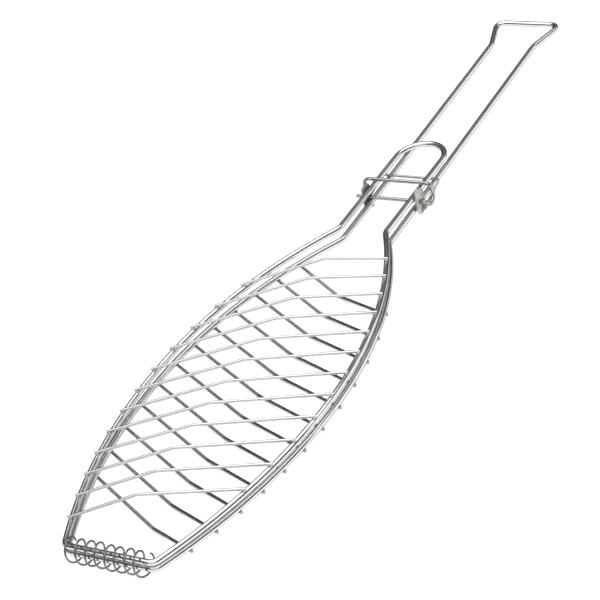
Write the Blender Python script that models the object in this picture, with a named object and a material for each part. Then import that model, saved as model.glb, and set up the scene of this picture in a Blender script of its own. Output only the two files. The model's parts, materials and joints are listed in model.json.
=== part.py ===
"""Wire grill basket for one fish: two hinged wire halves, a coil hinge and a sliding latch.

Metres, +Z up. +X runs from the tail hinge to the handle, +Y is the left side. The origin is
under the middle of the overall length, on the plane that the lower cross wires rest on.
"""
import math

import bpy
from mathutils import Matrix, Vector

# wire radii
FRAME_WIRE = 0.0020
CROSS_WIRE = 0.0010
COIL_WIRE = 0.0006
RING_WIRE = 0.0012
SPACER_WIRE = 0.0009
GAP = 0.0003                    # what touching pieces keep between them

# cross wires
PITCH = 0.0205                  # from one cross wire to the next
CROSS_WIRES = 12
FIRST_WIRE_X = -0.2432          # centre of the cross wire nearest the tail
LOWER_SHIFT = 0.0016            # the lower half's wires sit this much nearer the handle
UPPER_SLANT = -0.48             # run along X for each metre along Y
LOWER_SLANT = 0.44
KINK = 0.0086                   # how far the middle of a cross wire bulges out
KINK_RADIUS = 0.008
TIP = 0.0012                    # cross wire's end, past the frame wire's centreline

# the two frames' shared outline
TAIL_X = FIRST_WIRE_X - 1.85 * PITCH
WIDEST_X = FIRST_WIRE_X + 5.4 * PITCH
WIDEST_Y = 0.0652
TAIL_ARC = 0.3485               # radius of the sides, tail end to widest point
NECK_ARC = 0.2950               # radius of the sides, widest point to neck
LEG_Y = 0.0176                  # half the distance between a frame's two legs
TAIL_BEND = 0.0055
NECK_BEND = 0.008

# heights
CROSS_Z = CROSS_WIRE + KINK                        # ends of the lower cross wires
LOWER_Z = CROSS_Z + CROSS_WIRE + FRAME_WIRE        # lower frame's centreline
HALVES = 0.0046                                    # between the two tail bars' centrelines
UPPER_Z = LOWER_Z + HALVES
UPPER_TILT = math.radians(0.8)                     # the closed upper half stands this far open
HANDLE_RISE = math.radians(2.0)

# ends of the frames
LOOP_X = FIRST_WIRE_X + 18.1 * PITCH               # outermost centreline of the upper grip loop
FLARE_X = FIRST_WIRE_X + 24.45 * PITCH
FLARE_Y = 0.0168                # the handle's legs close in a little before they spread
HANDLE_END_X = 0.2867
HANDLE_END_Y = 0.0258
FLARE_BEND = 0.012
HANDLE_BEND = 0.0055

# hinge coil round both tail bars
COIL_RADIUS = 0.0074
COIL_TURNS = 8.125
COIL_STEPS = 14                 # straight bits in a turn
COIL_LEFT_Y = 0.0294
COIL_RIGHT_Y = -0.0275

# latch, in its own frame: origin between the lower legs' centrelines, X along them
LATCH_X = FIRST_WIRE_X + 15.5 * PITCH
PLATE = 0.0012
PLATE_END = 0.0052              # radius of the plate's round ends
PLATE_TOP = (-0.0038, 0.0078)   # centres of the plate's round ends, along X and Z
PLATE_BOTTOM = (-0.0052, 0.0)
PLATE_Y = LEG_Y + FRAME_WIRE + GAP + PLATE / 2
RING_X = -0.0047                # the ring's straight run, between upper and lower legs
RING_TOP_Z = 0.0115             # its upper run, over the upper legs
RING_RIGHT_Y = -0.0250
RING_LEFT_Y = 0.0252
RING_TIP_Y = 0.0284             # its free end, past the left plate
SPACER_X = 0.0205               # the spacer's cross run, over the lower legs
SPACER_SIDE_Y = 0.0224
SPACER_TIP_Y = 0.0170           # its hooked ends, under the lower legs
SPACER_HOOK_X = -0.0050
HOLE_PLAY = 0.0005

FILLET_STEP = math.radians(16)


def clear_scene():
    for item in list(bpy.data.objects):
        bpy.data.objects.remove(item, do_unlink=True)


def metal(name, colour, roughness):
    material = bpy.data.materials.new(name)
    material.use_nodes = True
    shader = material.node_tree.nodes["Principled BSDF"]
    shader.inputs["Base Color"].default_value = (*colour, 1.0)
    shader.inputs["Metallic"].default_value = 1.0
    shader.inputs["Roughness"].default_value = roughness
    return material


def fillet(before, corner, after, radius):
    """Points of the arc that rounds the corner between two straight runs."""
    inward = (before - corner).normalized()
    onward = (after - corner).normalized()
    turn = math.pi - inward.angle(onward)
    centre = corner + (inward + onward).normalized() * radius / math.cos(turn / 2)
    start = corner + inward * radius * math.tan(turn / 2) - centre
    axis = inward.cross(onward).normalized()
    steps = max(3, round(turn / FILLET_STEP))
    return [centre + Matrix.Rotation(-turn * i / steps, 3, axis) @ start for i in range(steps + 1)]


def rounded(corners, cyclic=False):
    """A path through corners, each a point and the radius of its bend (0 keeps it sharp)."""
    points = [Vector(point) for point, _ in corners]
    path = []
    for i, (point, radius) in enumerate(corners):
        is_end = not cyclic and i in (0, len(corners) - 1)
        if radius == 0 or is_end:
            path.append(points[i])
        else:
            path += fillet(points[i - 1], points[i], points[(i + 1) % len(points)], radius)
    return path


def wire(name, path, radius, material, parent=None, cyclic=False, sides=8, twist="Z_UP"):
    """A round wire along a path. Eight-sided wires turn one flat side down."""
    curve = bpy.data.curves.new(name, "CURVE")
    curve.dimensions = "3D"
    curve.twist_mode = twist
    curve.bevel_depth = radius
    curve.bevel_resolution = (sides - 4) // 2
    curve.use_fill_caps = not cyclic
    curve.render_resolution_u = 0
    spline = curve.splines.new("POLY")
    spline.points.add(len(path) - 1)
    for point, place in zip(spline.points, path):
        point.co = (*place, 1.0)
        point.tilt = math.pi / sides
    spline.use_cyclic_u = cyclic
    curve.materials.append(material)
    item = bpy.data.objects.new(name, curve)
    item.parent = parent
    bpy.context.collection.objects.link(item)
    return item


def pivot(name, place, rise):
    """An empty on a joint: its X axis rises towards the handle by the angle given."""
    empty = bpy.data.objects.new(name, None)
    empty.location = place
    empty.rotation_euler.y = -rise
    bpy.context.collection.objects.link(empty)
    return empty


def half_width(x):
    """Half the outline's width at x, on the frame wire's centreline."""
    radius = TAIL_ARC if x < WIDEST_X else NECK_ARC
    return WIDEST_Y - radius + math.sqrt(radius ** 2 - (x - WIDEST_X) ** 2)


def neck_x():
    """Where the sides have closed in to the legs."""
    drop = WIDEST_Y - LEG_Y
    return WIDEST_X + math.sqrt(NECK_ARC ** 2 - (NECK_ARC - drop) ** 2)


def side_corners(z, steps=18):
    """The left side of a frame from its tail corner to its neck, as corners of a path."""
    first, last = TAIL_X, neck_x()
    corners = []
    for i in range(steps + 1):
        x = first + (last - first) * i / steps
        bend = TAIL_BEND if i == 0 else NECK_BEND if i == steps else 0
        corners.append(((x, half_width(x), z), bend))
    return corners


def mirrored(corners):
    """The same corners on the right side, in the opposite order."""
    return [((x, -y, z), bend) for (x, y, z), bend in reversed(corners)]


def leg_z(x):
    """Height of the lower legs and the handle, which rise from the neck."""
    return LOWER_Z + (x - neck_x()) * math.tan(HANDLE_RISE)


def lower_frame(material):
    left = side_corners(LOWER_Z)
    left.append(((FLARE_X, FLARE_Y, leg_z(FLARE_X)), FLARE_BEND))
    left.append(((HANDLE_END_X, HANDLE_END_Y, leg_z(HANDLE_END_X)), HANDLE_BEND))
    wire("lower_frame", rounded(left + mirrored(left), True), FRAME_WIRE, material, cyclic=True)


def upper_frame(material, parent):
    """One flat loop, in the upper half's own frame: origin on the tail bar."""
    left = [((x - TAIL_X, y, z), bend) for (x, y, z), bend in side_corners(0.0)]
    loop_centre = LOOP_X - TAIL_X - LEG_Y
    half_turn = [math.pi * (0.5 - i / 14) for i in range(15)]
    loop = [((loop_centre + LEG_Y * math.cos(a), LEG_Y * math.sin(a), 0.0), 0) for a in half_turn]
    path = rounded(left + loop + mirrored(left), True)
    wire("upper_frame", path, FRAME_WIRE, material, parent, cyclic=True)


def tip_y(centre_x, slant, side):
    """Where a slanted cross wire ends: just past the frame wire on that side."""
    y = side * WIDEST_Y
    for _ in range(12):
        y = side * (half_width(centre_x + slant * y) + TIP)
    return y


def cross_wire(name, centre_x, slant, start_x, z, outward, material, parent=None):
    """One bent cross wire. Its ends lie at height z, its middle KINK further out."""
    left, right = (tip_y(centre_x, slant, side) for side in (1, -1))
    middle = centre_x - start_x
    corners = [((middle + slant * left, left, z), 0),
               ((middle, 0.0, z + outward * KINK), KINK_RADIUS),
               ((middle + slant * right, right, z), 0)]
    wire(name, rounded(corners), CROSS_WIRE, material, parent)


def cross_wires(lower_metal, upper_metal, upper_half):
    rise = CROSS_WIRE + FRAME_WIRE
    for i in range(CROSS_WIRES):
        x = FIRST_WIRE_X + i * PITCH
        cross_wire(f"lower_cross_wire_{i + 1:02d}", x + LOWER_SHIFT, LOWER_SLANT, 0.0,
                   CROSS_Z, -1, lower_metal)
        cross_wire(f"upper_cross_wire_{i + 1:02d}", x, UPPER_SLANT, TAIL_X,
                   rise, 1, upper_metal, upper_half)


def hinge_coil(material):
    centre_z = (LOWER_Z + UPPER_Z) / 2
    steps = round(COIL_TURNS * COIL_STEPS)
    path = []
    for i in range(steps + 1):
        angle = 2 * math.pi * COIL_TURNS * i / steps
        path.append(Vector((TAIL_X + COIL_RADIUS * math.cos(angle),
                            COIL_LEFT_Y + (COIL_RIGHT_Y - COIL_LEFT_Y) * i / steps,
                            centre_z + COIL_RADIUS * math.sin(angle))))
    wire("hinge_coil", path, COIL_WIRE, material, sides=6, twist="MINIMUM")


def outline(curve, points):
    spline = curve.splines.new("POLY")
    spline.points.add(len(points) - 1)
    for point, (x, z) in zip(spline.points, points):
        point.co = (x, z, 0.0, 1.0)
    spline.use_cyclic_u = True


def circle(centre, radius, steps=16):
    angles = [2 * math.pi * i / steps for i in range(steps)]
    return [(centre[0] + radius * math.cos(a), centre[1] + radius * math.sin(a)) for a in angles]


def latch_plate(name, y, material, parent):
    """An oval plate standing beside the legs, with a hole for each latch wire."""
    top, bottom = Vector(PLATE_TOP), Vector(PLATE_BOTTOM)
    lean = math.atan2(top.y - bottom.y, top.x - bottom.x)
    ends = []
    for centre, start in ((top, lean - math.pi / 2), (bottom, lean + math.pi / 2)):
        for i in range(9):
            angle = start + math.pi * i / 8
            ends.append(centre + PLATE_END * Vector((math.cos(angle), math.sin(angle))))
    curve = bpy.data.curves.new(name, "CURVE")
    curve.dimensions = "2D"
    curve.fill_mode = "BOTH"
    curve.extrude = PLATE / 2
    curve.render_resolution_u = 0
    outline(curve, ends)
    outline(curve, circle((SPACER_HOOK_X, -resting_z(SPACER_WIRE)), SPACER_WIRE + HOLE_PLAY))
    outline(curve, circle((RING_X, resting_z(RING_WIRE)), RING_WIRE + HOLE_PLAY))
    curve.materials.append(material)
    item = bpy.data.objects.new(name, curve)
    item.location.y = y
    item.rotation_euler.x = math.pi / 2
    item.parent = parent
    bpy.context.collection.objects.link(item)


def resting_z(radius):
    """Height of a crossing wire that lies on the lower legs (negative: that hangs under them)."""
    return FRAME_WIRE + GAP + radius


def latch_ring(material, parent):
    """One bent wire: between the legs, a curl outside the right plate, back over the top."""
    z = resting_z(RING_WIRE)
    corners = [((RING_X, RING_TIP_Y, z), 0),
               ((RING_X, RING_RIGHT_Y, z), 0.0018),
               ((0.0, RING_RIGHT_Y, -0.0026), 0.0030),
               ((0.0066, RING_RIGHT_Y, 0.0015), 0.0036),
               ((0.0052, RING_RIGHT_Y, RING_TOP_Z), 0.0035),
               ((0.0045, RING_LEFT_Y, RING_TOP_Z), 0.0040),
               ((0.0006, RING_LEFT_Y, 0.0012), 0)]
    wire("latch_ring", rounded(corners), RING_WIRE, material, parent, twist="MINIMUM")


def latch_spacer(material, parent):
    """The wire over the lower legs. Its sides run back outside the plates and hook under them."""
    z = resting_z(SPACER_WIRE)
    right = [((SPACER_HOOK_X, -SPACER_TIP_Y, -z), 0),
             ((SPACER_HOOK_X, -SPACER_SIDE_Y, -z), 0.0018),
             ((0.0010, -SPACER_SIDE_Y, -0.0010), 0.0030),
             ((SPACER_X, -SPACER_SIDE_Y, z), 0.0022)]
    path = rounded(right + mirrored(right))
    wire("latch_spacer_wire", path, SPACER_WIRE, material, parent, twist="MINIMUM")


def main():
    clear_scene()
    chrome = metal("chromed_wire", (0.80, 0.80, 0.80), 0.12)
    grey_wire = metal("lower_cross_wire_steel", (0.55, 0.55, 0.55), 0.25)
    spring = metal("coil_wire_steel", (0.45, 0.45, 0.46), 0.30)
    sheet = metal("galvanised_sheet", (0.60, 0.60, 0.58), 0.45)
    upper_half = pivot("upper_half_hinge", (TAIL_X, 0.0, UPPER_Z), UPPER_TILT)
    slider = pivot("latch_slide", (LATCH_X, 0.0, leg_z(LATCH_X)), HANDLE_RISE)
    lower_frame(chrome)
    upper_frame(chrome, upper_half)
    cross_wires(grey_wire, chrome, upper_half)
    hinge_coil(spring)
    latch_plate("latch_plate_left", PLATE_Y, sheet, slider)
    latch_plate("latch_plate_right", -PLATE_Y, sheet, slider)
    latch_ring(grey_wire, slider)
    latch_spacer(grey_wire, slider)


main()
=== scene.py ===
# %% [markdown]
# # A wire grill basket for one fish
# The real object is bent and spot-welded steel wire, plated bright, and nothing else but two
# small stamped plates. So the lesson is about wire: how a bend, a cut end, a weld and a loose
# coil look close up, and how plated steel takes its looks from what is round it.

# %% Load the frame
import json
import math

import bpy
from mathutils import Matrix, Vector


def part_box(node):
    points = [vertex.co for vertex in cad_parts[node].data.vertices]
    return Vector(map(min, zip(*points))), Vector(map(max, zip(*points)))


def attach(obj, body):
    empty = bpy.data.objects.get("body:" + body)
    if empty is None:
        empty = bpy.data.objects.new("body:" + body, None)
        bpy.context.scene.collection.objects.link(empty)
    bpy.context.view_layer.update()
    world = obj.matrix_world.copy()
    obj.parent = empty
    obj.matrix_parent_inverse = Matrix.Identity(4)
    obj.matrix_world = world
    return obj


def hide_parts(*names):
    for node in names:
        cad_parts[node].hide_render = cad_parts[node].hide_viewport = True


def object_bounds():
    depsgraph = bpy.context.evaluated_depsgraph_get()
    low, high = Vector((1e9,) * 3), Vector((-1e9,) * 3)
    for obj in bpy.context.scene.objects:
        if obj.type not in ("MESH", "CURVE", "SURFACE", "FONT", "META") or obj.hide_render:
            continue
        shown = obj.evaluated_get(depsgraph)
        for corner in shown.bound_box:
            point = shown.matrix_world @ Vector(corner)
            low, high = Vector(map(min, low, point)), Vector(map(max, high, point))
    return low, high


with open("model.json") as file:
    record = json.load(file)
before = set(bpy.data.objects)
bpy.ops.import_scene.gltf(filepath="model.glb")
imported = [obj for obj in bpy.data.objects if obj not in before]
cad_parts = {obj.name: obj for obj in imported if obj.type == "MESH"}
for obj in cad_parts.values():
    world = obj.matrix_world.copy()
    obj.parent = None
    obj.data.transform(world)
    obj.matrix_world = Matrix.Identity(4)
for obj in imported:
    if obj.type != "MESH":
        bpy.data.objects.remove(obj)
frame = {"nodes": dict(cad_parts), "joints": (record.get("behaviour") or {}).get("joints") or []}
cad_low, cad_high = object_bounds()
bpy.ops.object.select_all(action="DESELECT")
joints = {joint["name"]: joint for joint in frame["joints"]}
print("overall size in mm:", [round(1000 * side) for side in cad_high - cad_low])

# %% [markdown]
# ## Measures
# Everything is worked out from the frame: the hinge joint gives the upper half's tail bar, the
# slide joint gives the slope of the handle, and the boxes of the wires give the rest. The wires
# of the frame are eight-sided with a flat side down, so a box is a little tighter than the
# round wire that it stands for.

# %% Wire gauges and the half's own lines
FRAME_WIRE = 0.0020             # radii, in metres
CROSS_WIRE = 0.0010
COIL_WIRE = 0.0006
RING_WIRE = 0.0012
SPACER_WIRE = 0.0009
FLAT = math.cos(math.pi / 8)    # an eight-sided wire's half thickness, for a radius of 1

HINGE = Vector(joints["basket_open"]["pos_m"])
SLIDE = Vector(joints["latch_slide"]["axis"])
HANDLE_RISE = math.atan2(SLIDE.z, SLIDE.x)
CROSS_WIRE_COUNT = sum(name.startswith("lower_cross_wire") for name in frame["nodes"])

lower_low, lower_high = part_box("lower_frame")
upper_low, upper_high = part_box("upper_frame")
TAIL_X = lower_low.x + FLAT * FRAME_WIRE
HANDLE_END_X = lower_high.x - FLAT * FRAME_WIRE
LOWER_Z = lower_low.z + FLAT * FRAME_WIRE
LOOP_X = upper_high.x - FLAT * FRAME_WIRE
UPPER_TILT = math.atan2(upper_high.z - FLAT * FRAME_WIRE - HINGE.z, LOOP_X - HINGE.x)
WIDEST_Y = lower_high.y - FRAME_WIRE
print("tail", round(TAIL_X, 4), "handle end", round(HANDLE_END_X, 4), "half width", round(WIDEST_Y, 4))
print("upper half stands open by", round(math.degrees(UPPER_TILT), 2), "degrees")

# %% [markdown]
# ## The outline
# Both halves share one fish-shaped outline: a long arc from the tail bar to the widest point,
# and a tighter one from there to the neck, where the wire turns into the legs. Two radii and
# the widest point say it all, so a function gives the half width anywhere along the basket.

# %% The sides as two arcs
TAIL_ARC = 0.3485
NECK_ARC = 0.2950
LEG_Y = 0.0176                  # from the middle line to a leg of either half
WIDEST_X = TAIL_X + 0.1486


def half_width(x):
    radius = TAIL_ARC if x < WIDEST_X else NECK_ARC
    return WIDEST_Y - radius + math.sqrt(radius ** 2 - (x - WIDEST_X) ** 2)


NECK_X = WIDEST_X + math.sqrt(NECK_ARC ** 2 - (NECK_ARC - WIDEST_Y + LEG_Y) ** 2)


def leg_z(x):
    return LOWER_Z + (x - NECK_X) * math.tan(HANDLE_RISE)


print("neck at", round(NECK_X, 4), "half width at the tail", round(half_width(TAIL_X), 4))

# %% [markdown]
# ## Bending wire
# A wire former bends each corner round a pin, so every corner is a true arc between straight
# runs. The helper takes the corners with their bend radii and returns the path. A curve with a
# round bevel along that path is how a wire is drawn by hand, and it is made a mesh afterwards,
# so that its cut ends can be shaped.

# %% Corners to a path
BEND_STEP = math.radians(6)


def bend(before, corner, after, radius):
    inward = (before - corner).normalized()
    onward = (after - corner).normalized()
    turn = math.pi - inward.angle(onward)
    centre = corner + (inward + onward).normalized() * radius / math.cos(turn / 2)
    start = corner + inward * radius * math.tan(turn / 2) - centre
    axis = inward.cross(onward).normalized()
    steps = max(4, round(turn / BEND_STEP))
    return [centre + Matrix.Rotation(-turn * i / steps, 3, axis) @ start for i in range(steps + 1)]


def bent_path(corners, closed=False):
    points = [Vector(point) for point, _ in corners]
    path = []
    for i, (_, radius) in enumerate(corners):
        if radius == 0 or (not closed and i in (0, len(corners) - 1)):
            path.append(points[i])
        else:
            path += bend(points[i - 1], points[i], points[(i + 1) % len(points)], radius)
    return path


# %% A path to a round wire with sheared ends
def finish_ends(wire, radius):
    """Rounds the rims of the two cut ends, as shears and plating leave them."""
    bpy.ops.object.mode_set(mode="EDIT")
    bpy.ops.mesh.select_mode(type="FACE")
    bpy.ops.mesh.select_all(action="DESELECT")
    bpy.ops.object.mode_set(mode="OBJECT")
    for face in wire.data.polygons:
        face.select = len(face.vertices) > 4
    bpy.ops.object.mode_set(mode="EDIT")
    bpy.ops.mesh.bevel(offset=0.22 * radius, segments=3, affect="EDGES")
    bpy.ops.object.mode_set(mode="OBJECT")


def draw_wire(name, path, radius, closed=False, sides=20):
    curve = bpy.data.curves.new(name, "CURVE")
    curve.dimensions = "3D"
    curve.twist_mode = "MINIMUM"
    curve.bevel_depth = radius
    curve.bevel_resolution = (sides - 4) // 2
    curve.use_fill_caps = not closed
    spline = curve.splines.new("POLY")
    spline.points.add(len(path) - 1)
    for point, place in zip(spline.points, path):
        point.co = (*place, 1.0)
    spline.use_cyclic_u = closed
    wire = bpy.data.objects.new(name, curve)
    bpy.context.collection.objects.link(wire)
    bpy.ops.object.select_all(action="DESELECT")
    wire.select_set(True)
    bpy.context.view_layer.objects.active = wire
    bpy.ops.object.convert(target="MESH")
    wire = bpy.context.object
    bpy.ops.object.mode_set(mode="EDIT")
    bpy.ops.mesh.select_all(action="SELECT")
    bpy.ops.mesh.remove_doubles(threshold=0.00001)
    bpy.ops.object.mode_set(mode="OBJECT")
    if not closed:
        finish_ends(wire, radius)
    bpy.ops.object.shade_smooth_by_angle(angle=math.radians(50))
    return wire


def settle(piece, placing):
    """Puts a piece modelled in its own frame in its place, and leaves the object unturned."""
    piece.matrix_world = placing
    bpy.ops.object.select_all(action="DESELECT")
    piece.select_set(True)
    bpy.context.view_layer.objects.active = piece
    bpy.ops.object.transform_apply(location=True, rotation=True, scale=True)


# %% [markdown]
# ## Metals
# All of it is low-carbon steel, and what differs is the finish, save for the lower grid's darker grey,
# which is painted shade. The thick wires are bright nickel over drawn wire, and the upper cross wires
# have the same nickel, a little duller, because thin wire is drawn harder and polished less. The lower
# cross wires are a darker grey than the upper ones, and this is painted shade: it stands in for the
# darker surroundings that the lower grid reflects. The latch wires are plated thinner, so the drawn
# surface below shows as a softer grey. The coil is hard drawn spring wire, and the plates are stamped
# from galvanised sheet. A metal's Specular Tint is its colour at a grazing look, and a dark one paints
# a dark rim on every wire and plate: a painted dark reflection, standing in for the dark room round
# it.

# %% Helpers for colours and nodes
def linear(hex_colour):
    channels = [int(hex_colour[i:i + 2], 16) / 255 for i in (1, 3, 5)]
    curve = [c / 12.92 if c <= 0.04045 else ((c + 0.055) / 1.055) ** 2.4 for c in channels]
    return (*curve, 1.0)


def add(material, kind, links=(), **settings):
    """Adds a node, sets its inputs and properties by name, and links (socket, source) pairs."""
    node = material.node_tree.nodes.new(kind)
    for key, value in settings.items():
        label = key.replace("_", " ")
        if hasattr(node, key):
            setattr(node, key, value)
        else:
            node.inputs[label].default_value = value
    for socket, source in links:
        material.node_tree.links.new(source, node.inputs[socket])
    return node


def metal(name, painted_dark_rim, slot_grey):
    material = bpy.data.materials.new(name)
    material.use_nodes = True
    shader = material.node_tree.nodes["Principled BSDF"]
    shader.inputs["Metallic"].default_value = 1.0
    # painted dark reflection: a dark Specular Tint darkens every edge of the metal at a grazing look
    shader.inputs["Specular Tint"].default_value = linear(painted_dark_rim)
    material.diffuse_color = linear(slot_grey)
    return material, shader


# %% A plated wire: even colour with a faint cloud, fine drawing marks, and pits in the plate
MM = 1000                       # noise scale for a pattern one millimetre across


def plated_wire(name, bright, dull, painted_dark_rim, smooth, rough, marks):
    material, shader = metal(name, painted_dark_rim, bright)
    tree = material.node_tree
    place = add(material, "ShaderNodeTexCoord").outputs["Object"]
    cloud = add(material, "ShaderNodeTexNoise", [("Vector", place)], Scale=MM / 14, Detail=3.0)
    fine = add(material, "ShaderNodeTexNoise", [("Vector", place)], Scale=MM / 0.9, Detail=4.0)
    tone = add(material, "ShaderNodeMix", [(0, cloud.outputs["Fac"])], data_type="RGBA")
    tone.inputs[6].default_value = linear(dull)
    tone.inputs[7].default_value = linear(bright)
    gloss = add(material, "ShaderNodeMapRange", [("Value", cloud.outputs["Fac"])])
    gloss.inputs["From Min"].default_value = 0.35
    gloss.inputs["From Max"].default_value = 0.65
    gloss.inputs["To Min"].default_value = smooth
    gloss.inputs["To Max"].default_value = rough
    pits = add(material, "ShaderNodeBump", [("Height", fine.outputs["Fac"])],
               Strength=marks, Distance=0.00004)
    tree.links.new(tone.outputs[2], shader.inputs["Base Color"])
    tree.links.new(gloss.outputs["Result"], shader.inputs["Roughness"])
    tree.links.new(pits.outputs["Normal"], shader.inputs["Normal"])
    return material


# The fourth colour of each wire is its painted dark rim, a painted dark reflection at the wire's
# edges.
bright_nickel_wire = plated_wire("bright_nickel_plated_wire", "#E9E9E7", "#D2D2D0", "#3A3A3A",
                                 0.07, 0.15, 0.10)
satin_nickel_wire = plated_wire("satin_nickel_plated_wire", "#E0E0E0", "#CBCBCB", "#3A3A3A",
                                0.18, 0.26, 0.12)
# The lower grid's grey is darker than the upper grid's: painted shade, for the darker surroundings it
# reflects.
lower_grid_painted_shade_wire = plated_wire("lower_grid_wire_with_painted_shade", "#A9A9A6", "#8C8C89", "#2C2C2C",
                               0.18, 0.28, 0.25)
latch_wire = plated_wire("zinc_plated_latch_wire", "#C4C4C0", "#A2A29E", "#3A3A38",
                         0.16, 0.26, 0.25)
spring_wire = plated_wire("hard_drawn_spring_wire", "#9A9A98", "#757573", "#2A2A2A",
                          0.20, 0.32, 0.30)


# %% Galvanised sheet: zinc crystals a few millimetres across, each with its own grey and gloss
def galvanised_sheet():
    # 6E6E6A is the sheet's painted dark rim, a painted dark reflection at the plate's edges.
    material, shader = metal("galvanised_steel_sheet", "#6E6E6A", "#B9B9B3")
    tree = material.node_tree
    place = add(material, "ShaderNodeTexCoord").outputs["Object"]
    spangle = add(material, "ShaderNodeTexVoronoi", [("Vector", place)], Scale=MM / 2.2)
    grain = add(material, "ShaderNodeTexNoise", [("Vector", place)], Scale=MM / 0.5, Detail=5.0)
    tone = add(material, "ShaderNodeMix", [(0, spangle.outputs["Color"])], data_type="RGBA")
    tone.inputs[6].default_value = linear("#B4B4AE")
    tone.inputs[7].default_value = linear("#DADAD5")
    gloss = add(material, "ShaderNodeMapRange", [("Value", spangle.outputs["Distance"])])
    gloss.inputs["To Min"].default_value = 0.36
    gloss.inputs["To Max"].default_value = 0.55
    bump = add(material, "ShaderNodeBump", [("Height", grain.outputs["Fac"])],
               Strength=0.3, Distance=0.00005)
    tree.links.new(tone.outputs[2], shader.inputs["Base Color"])
    tree.links.new(gloss.outputs["Result"], shader.inputs["Roughness"])
    tree.links.new(bump.outputs["Normal"], shader.inputs["Normal"])
    return material


sheet_metal = galvanised_sheet()
print("materials:", [m.name for m in bpy.data.materials if m.use_nodes])


# %% One call says what a finished piece is
def hand_over(piece, material, body, slot, *nodes):
    piece.data.materials.clear()
    piece.data.materials.append(material)
    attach(piece, body)
    if nodes:
        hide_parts(*nodes)
    print(piece.name, "faces:", len(piece.data.polygons))


# %% [markdown]
# ## The lower frame and handle
# One length of wire makes the tail bar, the sides, the legs and the handle. It starts and ends
# inside the coil, where nobody sees the joint. The handle slopes up a little from the neck, and
# its end spreads so that it doesn't slip from the hand.

# %% Lower frame
TAIL_BEND = 0.0055              # bend radii on the wire's middle line
NECK_BEND = 0.0080
FLARE_BEND = 0.0120
HANDLE_BEND = 0.0055


def side(first_x, steps=36):
    """Left side of the outline from the tail corner to the neck, as corners in the XY plane."""
    corners = []
    for i in range(steps + 1):
        x = first_x + (NECK_X - first_x) * i / steps
        radius = TAIL_BEND if i == 0 else NECK_BEND if i == steps else 0
        corners.append((x, half_width(x), radius))
    return corners


def both_sides(left):
    return left + [((x, -y, z), radius) for (x, y, z), radius in reversed(left)]


HANDLE_END_Y = 0.0258
FLARE_X = HANDLE_END_X - 0.0287
FLARE_Y = 0.0168

lower_left = [((x, y, LOWER_Z), radius) for x, y, radius in side(TAIL_X)]
lower_left.append(((FLARE_X, FLARE_Y, leg_z(FLARE_X)), FLARE_BEND))
lower_left.append(((HANDLE_END_X, HANDLE_END_Y, leg_z(HANDLE_END_X)), HANDLE_BEND))
lower_frame = draw_wire("lower_frame_wire", bent_path(both_sides(lower_left), True),
                        FRAME_WIRE, closed=True, sides=24)
hand_over(lower_frame, bright_nickel_wire, "lower_half", "frame_wire", "lower_frame")

# %% [markdown]
# ## The upper frame
# The upper half is the same outline closed by a round grip loop. It is drawn flat, with its tail
# bar at the origin, and then tipped about the hinge by the small angle that the latch leaves.

# %% Upper frame
UPPER_PLACE = Matrix.Translation(HINGE) @ Matrix.Rotation(-UPPER_TILT, 4, "Y")
loop_centre = (LOOP_X - HINGE.x) / math.cos(UPPER_TILT) - LEG_Y
upper_left = [((x - HINGE.x, y, 0.0), radius) for x, y, radius in side(HINGE.x)]
QUARTER_STEPS = 12
for i in range(QUARTER_STEPS + 1):
    angle = math.pi / 2 * (1 - i / QUARTER_STEPS)
    upper_left.append(((loop_centre + LEG_Y * math.cos(angle), LEG_Y * math.sin(angle), 0.0), 0))
loop_tip = upper_left.pop()
upper_right = [((x, -y, z), radius) for (x, y, z), radius in reversed(upper_left)]
upper_path = bent_path(upper_left + [loop_tip] + upper_right, True)
upper_frame = draw_wire("upper_frame_wire", upper_path, FRAME_WIRE, closed=True, sides=24)
settle(upper_frame, UPPER_PLACE)
hand_over(upper_frame, bright_nickel_wire, "upper_half", "frame_wire", "upper_frame")

# %% [markdown]
# ## Cross wires and their welds
# Each grid has twelve thin wires. A press puts one bend at the middle of each, so that a grid is
# a shallow vault, and a spot welder joins their ends to the frame wire. The weld sinks the thin
# wire a little into the thick one and squeezes out a small collar, which is what shows from
# close by. The boxes of the wires say where each one starts, bends and ends.

# %% Weld collars, modelled once
COLLAR_WIDTH = 1.35 * CROSS_WIRE
COLLAR_DEPTH = 0.75 * CROSS_WIRE


def weld_collar():
    bpy.ops.mesh.primitive_uv_sphere_add(segments=14, ring_count=8, radius=1.0)
    collar = bpy.context.object
    collar.scale = (COLLAR_WIDTH, COLLAR_WIDTH, COLLAR_DEPTH)
    bpy.ops.object.transform_apply(scale=True)
    bpy.ops.object.shade_smooth()
    collar.name = "weld_collar"
    return collar


collar_master = weld_collar()


def copies_at(master, places, name):
    """Copies of a master, each with its own mesh, joined as one piece."""
    bpy.ops.object.select_all(action="DESELECT")
    for place in places:
        twin = master.copy()
        twin.data = master.data.copy()
        twin.location = place
        bpy.context.collection.objects.link(twin)
        twin.select_set(True)
        bpy.context.view_layer.objects.active = twin
    bpy.ops.object.join()
    bpy.ops.object.transform_apply(location=True, rotation=True, scale=True)
    joined = bpy.context.object
    joined.name = name
    return joined


# %% Both grids
KINK_BEND = 0.0070              # bend radius at the middle of a cross wire
WIRE_TIP = 0.0012               # how far a tip stands out past the frame wire's middle
LOWER_SLANT = 0.44              # lean of a grid's wires, forwards for each step sideways
UPPER_SLANT = -0.48


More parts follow.
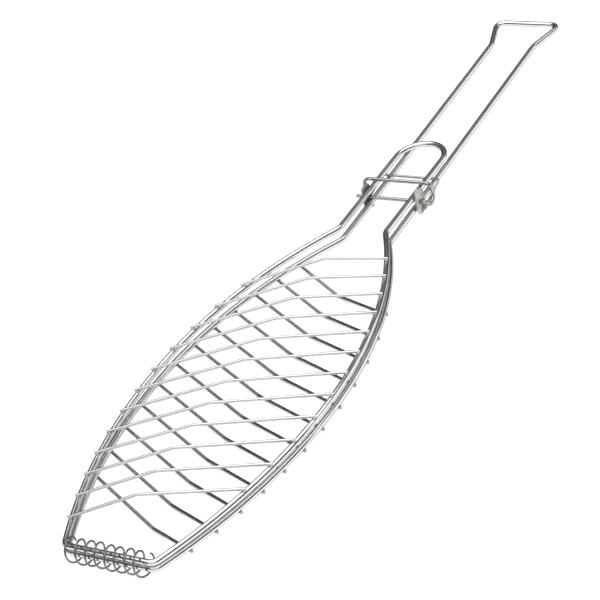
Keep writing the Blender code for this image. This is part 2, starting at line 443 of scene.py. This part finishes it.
def cross_wire_points(node, slant, outward):
    """The left tip, the middle and the right tip of a cross wire, from its box."""
    low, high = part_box(node)
    lean = math.atan(abs(slant))
    inset_x = CROSS_WIRE * math.cos(lean)
    inset_y = CROSS_WIRE * math.sin(lean)
    ends_x = (high.x - inset_x, low.x + inset_x)
    left_x, right_x = ends_x if slant > 0 else reversed(ends_x)
    left_y, right_y = high.y - inset_y, low.y + inset_y
    middle_x = left_x - left_y * (left_x - right_x) / (left_y - right_y)
    levels = (low.z + FLAT * CROSS_WIRE, high.z - FLAT * CROSS_WIRE)
    crest, ends = levels if outward < 0 else reversed(levels)
    return (Vector((left_x, left_y, ends)),
            Vector((middle_x, 0.0, crest)),
            Vector((right_x, right_y, ends)))


def crossing(tip, other):
    """Where a wire passes over the frame wire's middle, near its tip."""
    along = (tip - other).normalized()
    return tip - along * WIRE_TIP / abs(along.y)


def build_grid(prefix, slant, outward, material, slot, body, placing):
    welds = []
    for i in range(CROSS_WIRE_COUNT):
        node = f"{prefix}_cross_wire_{i + 1:02d}"
        left, middle, right = cross_wire_points(node, slant, outward)
        if placing:
            back = placing.inverted()
            left, middle, right = back @ left, back @ middle, back @ right
            left.z = right.z = FRAME_WIRE + CROSS_WIRE
        path = bent_path([(left, 0), (middle, KINK_BEND), (right, 0)])
        wire = draw_wire(node + "_round", path, CROSS_WIRE, sides=16)
        for tip, other in ((left, right), (right, left)):
            spot = crossing(tip, other)
            welds.append(spot + Vector((0.0, 0.0, -outward * COLLAR_DEPTH)))
        if placing:
            settle(wire, placing)
        hand_over(wire, material, body, slot, node)
    collars = copies_at(collar_master, welds, prefix + "_weld_collars")
    if placing:
        settle(collars, placing)
    hand_over(collars, material, body, slot)


# The lower grid gets the darker grey, which is painted shade.
build_grid("lower", LOWER_SLANT, -1, lower_grid_painted_shade_wire, "lower_cross_wire", "lower_half", None)
build_grid("upper", UPPER_SLANT, 1, satin_nickel_wire, "upper_cross_wire", "upper_half", UPPER_PLACE)
bpy.data.objects.remove(collar_master)

# %% [markdown]
# ## The hinge coil
# A piece of thin spring wire is threaded round both tail bars. Its turns are loose: they vary a
# little in width and in spacing. A helix gives the turns, and two slow waves take the
# machine-made look away.

# %% Coil
coil_low, coil_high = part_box("hinge_coil")
COIL_TURNS = 8.125
COIL_LOOSE = 0.00025            # how much the turns vary in radius
COIL_SWAY = 0.0004              # and in place
COIL_STEPS = round(COIL_TURNS * 32)
coil_radius = (coil_high.z - coil_low.z) / 2 - COIL_WIRE
coil_centre = (coil_low + coil_high) / 2
coil_left = coil_high.y - COIL_WIRE
coil_run = coil_high.y - coil_low.y - 2 * COIL_WIRE


def coil_point(share):
    turn = 2 * math.pi * COIL_TURNS * share
    radius = coil_radius - COIL_LOOSE + COIL_LOOSE * math.sin(0.71 * turn)
    sideways = COIL_SWAY * math.sin(0.43 * turn)
    return Vector((coil_centre.x + radius * math.cos(turn),
                   coil_left - coil_run * share + sideways * math.sin(math.pi * share),
                   coil_centre.z + radius * math.sin(turn)))


coil_path = [coil_point(i / COIL_STEPS) for i in range(COIL_STEPS + 1)]
coil = draw_wire("hinge_coil_wire", coil_path, COIL_WIRE, sides=12)
hand_over(coil, spring_wire, "lower_half", "coil_wire", "hinge_coil")
print("coil turns:", COIL_TURNS, "radius in mm:", round(1000 * coil_radius, 2))

# %% [markdown]
# ## The latch
# Two stamped plates stand outside the legs. The ring wire goes round the upper legs: its straight
# run passes between the halves, through both plates, and it curls up outside the right plate and
# comes back over the top. The second wire goes round the lower legs: it lies on them, its sides
# run back outside the plates, and its ends hook in under the legs through the plates. Pushed
# towards the basket the two wires hold it shut, and pulled off the grip loop they let it open.
# The pieces are modelled square to the legs and then turned with the handle's slope.

# %% The latch's own frame
plate_low, plate_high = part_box("latch_plate_right")
PLATE = plate_high.y - plate_low.y      # thickness
PLATE_Y = (plate_high.y + plate_low.y) / 2
PLATE_END = 0.0052                      # radius of the plate's round ends
PLATE_TOP = Vector((-0.0038, 0.0078))   # their centres, along and above the lower leg
PLATE_BOTTOM = Vector((-0.0052, 0.0))
HOLE_PLAY = 0.0005
EDGE_ROLL = 0.00022
plate_middle = (PLATE_TOP + PLATE_BOTTOM) / 2
slope = Matrix.Rotation(-HANDLE_RISE, 4, "Y")
plate_offset = slope @ Vector((plate_middle.x, PLATE_Y, plate_middle.y))
latch_origin = (plate_low + plate_high) / 2 - plate_offset
LATCH_PLACE = Matrix.Translation(latch_origin) @ slope
GAP = 0.0003
RING_X = -0.0047
RING_Z = FRAME_WIRE + GAP + RING_WIRE
HOOK_X = -0.0050
SPACER_Z = FRAME_WIRE + GAP + SPACER_WIRE
print("latch origin in mm:", [round(1000 * c, 1) for c in latch_origin])


# %% Plates: a stretched disc, holes punched, edges rolled over by the die
def punch(plate, x, z, radius):
    bpy.ops.mesh.primitive_cylinder_add(vertices=32, radius=radius, depth=0.01, location=(x, z, 0))
    cutter = bpy.context.object
    hole = plate.modifiers.new("hole", "BOOLEAN")
    hole.object = cutter
    bpy.context.view_layer.objects.active = plate
    bpy.ops.object.modifier_apply(modifier="hole")
    bpy.data.objects.remove(cutter)


def latch_plate(name, y):
    lean = math.atan2(PLATE_TOP.y - PLATE_BOTTOM.y, PLATE_TOP.x - PLATE_BOTTOM.x)
    bpy.ops.mesh.primitive_circle_add(vertices=64, radius=PLATE_END, fill_type="NGON")
    plate = bpy.context.object
    plate.name = name
    length = (PLATE_TOP - PLATE_BOTTOM).length
    for vertex in plate.data.vertices:
        if vertex.co.y > 0.0:
            vertex.co.y += length
    bpy.ops.object.mode_set(mode="EDIT")
    bpy.ops.mesh.select_all(action="SELECT")
    bpy.ops.mesh.extrude_region_move(TRANSFORM_OT_translate={"value": (0, 0, PLATE)})
    bpy.ops.mesh.select_all(action="SELECT")
    bpy.ops.mesh.normals_make_consistent(inside=False)
    bpy.ops.object.mode_set(mode="OBJECT")
    plate.rotation_euler.z = lean - math.pi / 2
    plate.location = (PLATE_BOTTOM.x, PLATE_BOTTOM.y, -PLATE / 2)
    bpy.ops.object.transform_apply(location=True, rotation=True, scale=True)
    punch(plate, HOOK_X, -SPACER_Z, SPACER_WIRE + HOLE_PLAY)
    punch(plate, RING_X, RING_Z, RING_WIRE + HOLE_PLAY)
    edge = plate.modifiers.new("edge", "BEVEL")
    edge.width = EDGE_ROLL
    edge.segments = 3
    edge.limit_method = "ANGLE"
    bpy.ops.object.modifier_apply(modifier="edge")
    bpy.ops.object.shade_smooth_by_angle(angle=math.radians(35))
    stand = Matrix.Translation((0, y, 0)) @ Matrix.Rotation(math.pi / 2, 4, "X")
    settle(plate, LATCH_PLACE @ stand)
    return plate


for label, y in (("left", -PLATE_Y), ("right", PLATE_Y)):
    plate = latch_plate(f"latch_{label}_stamped_plate", y)
    hand_over(plate, sheet_metal, "latch", "latch_plate", f"latch_plate_{label}")

# %% Latch wires
RING_TIP_Y = 0.0284             # the ring's straight run ends a little outside the left plate
RING_LEFT_Y = 0.0252
RING_RIGHT_Y = -0.0250
RING_TOP_Z = 0.0115
SPACER_TIP_Y = 0.0170
SPACER_SIDE_Y = 0.0224
SPACER_X = 0.0205

ring_corners = [((RING_X, RING_TIP_Y, RING_Z), 0),
                ((RING_X, RING_RIGHT_Y, RING_Z), 0.0018),
                ((0.0, RING_RIGHT_Y, -0.0026), 0.0030),
                ((0.0066, RING_RIGHT_Y, 0.0015), 0.0036),
                ((0.0052, RING_RIGHT_Y, RING_TOP_Z), 0.0035),
                ((0.0045, RING_LEFT_Y, RING_TOP_Z), 0.0040),
                ((0.0006, RING_LEFT_Y, 0.0012), 0)]
ring = draw_wire("latch_ring_wire", bent_path(ring_corners), RING_WIRE)
settle(ring, LATCH_PLACE)
hand_over(ring, latch_wire, "latch", "latch_wire", "latch_ring")

spacer_left = [((HOOK_X, SPACER_TIP_Y, -SPACER_Z), 0),
               ((HOOK_X, SPACER_SIDE_Y, -SPACER_Z), 0.0018),
               ((0.0010, SPACER_SIDE_Y, -0.0010), 0.0030),
               ((SPACER_X, SPACER_SIDE_Y, SPACER_Z), 0.0022)]
spacer = draw_wire("latch_spacer_bent_wire", bent_path(both_sides(spacer_left)), SPACER_WIRE)
settle(spacer, LATCH_PLACE)
hand_over(spacer, latch_wire, "latch", "latch_wire", "latch_spacer_wire")

# %% [markdown]
# ## Floor, light and camera
# The floor is a plain sheet of opal acrylic with a weak light under it, as used for pictures of
# small things: it stays white and takes the weight out of the shadows. Plated wire shows what is
# round it. So the room is dark at the horizon and paler higher up, and the lights are large soft
# boxes: they give the bright streaks, and the room between them gives the dark lines that make a
# wire look round.

# %% Floor
bpy.ops.mesh.primitive_plane_add(size=14.0, location=(0, 0, 0))
floor = bpy.context.object
floor.name = "floor"
floor_sheet = bpy.data.materials.new("opal_acrylic_sheet")
floor_sheet.use_nodes = True
opal = floor_sheet.node_tree.nodes["Principled BSDF"]
opal.inputs["Base Color"].default_value = linear("#F7F7F7")
opal.inputs["Roughness"].default_value = 0.9
opal.inputs["Emission Color"].default_value = linear("#FFFFFF")
opal.inputs["Emission Strength"].default_value = 0.40
floor.data.materials.append(floor_sheet)

# %% Soft boxes and the room
middle = (cad_low + cad_high) / 2


def soft_box(name, place, size, power):
    light = bpy.data.lights.new(name, "AREA")
    light.shape = "RECTANGLE"
    light.size, light.size_y = size
    light.energy = power
    box = bpy.data.objects.new(name, light)
    box.location = place
    box.rotation_euler = (middle - Vector(place)).to_track_quat("-Z", "Y").to_euler()
    bpy.context.collection.objects.link(box)


soft_box("overhead_box", (0.0, 0.0, 2.2), (3.2, 3.2), 52)
soft_box("tail_side_box", (-1.9, -0.25, 1.2), (2.2, 1.4), 8)
soft_box("right_low_box", (1.7, -1.7, 0.55), (1.6, 0.8), 6)

world = bpy.data.worlds.new("studio_room")
bpy.context.scene.world = world
world.use_nodes = True
room = world.node_tree
backdrop = room.nodes["Background"]
backdrop.inputs["Color"].default_value = linear("#F4F6F8")
direction = room.nodes.new("ShaderNodeTexCoord")
height = room.nodes.new("ShaderNodeSeparateXYZ")
level = room.nodes.new("ShaderNodeMapRange")
level.inputs["From Min"].default_value = 0.30
level.inputs["From Max"].default_value = 0.75
level.inputs["To Min"].default_value = 0.06
level.inputs["To Max"].default_value = 0.32
room.links.new(direction.outputs["Generated"], height.inputs["Vector"])
room.links.new(height.outputs["Z"], level.inputs["Value"])
room.links.new(level.outputs["Result"], backdrop.inputs["Strength"])

# %% Camera
PITCH = 0.0205                  # spacing of the cross wires, a handy unit for the camera's place
first_wire = Vector((-0.2432, 0.0, 0.0149))
camera_data = bpy.data.cameras.new("camera")
camera_data.sensor_width = 36.0
camera_data.lens = 133.26
camera = bpy.data.objects.new("camera", camera_data)
bpy.context.collection.objects.link(camera)
camera_place = Matrix.Translation(first_wire + PITCH * Vector((-34.05, -36.60, 37.92)))
look = Vector((0.6376, 0.5390, -0.5504)).normalized()
right = Vector((0.4844, -0.8361, -0.2575)).normalized()
up = right.cross(look)
camera.matrix_world = camera_place @ Matrix((right, up, -look)).transposed().to_4x4()
bpy.context.scene.camera = camera
bpy.context.scene.view_settings.view_transform = "Standard"
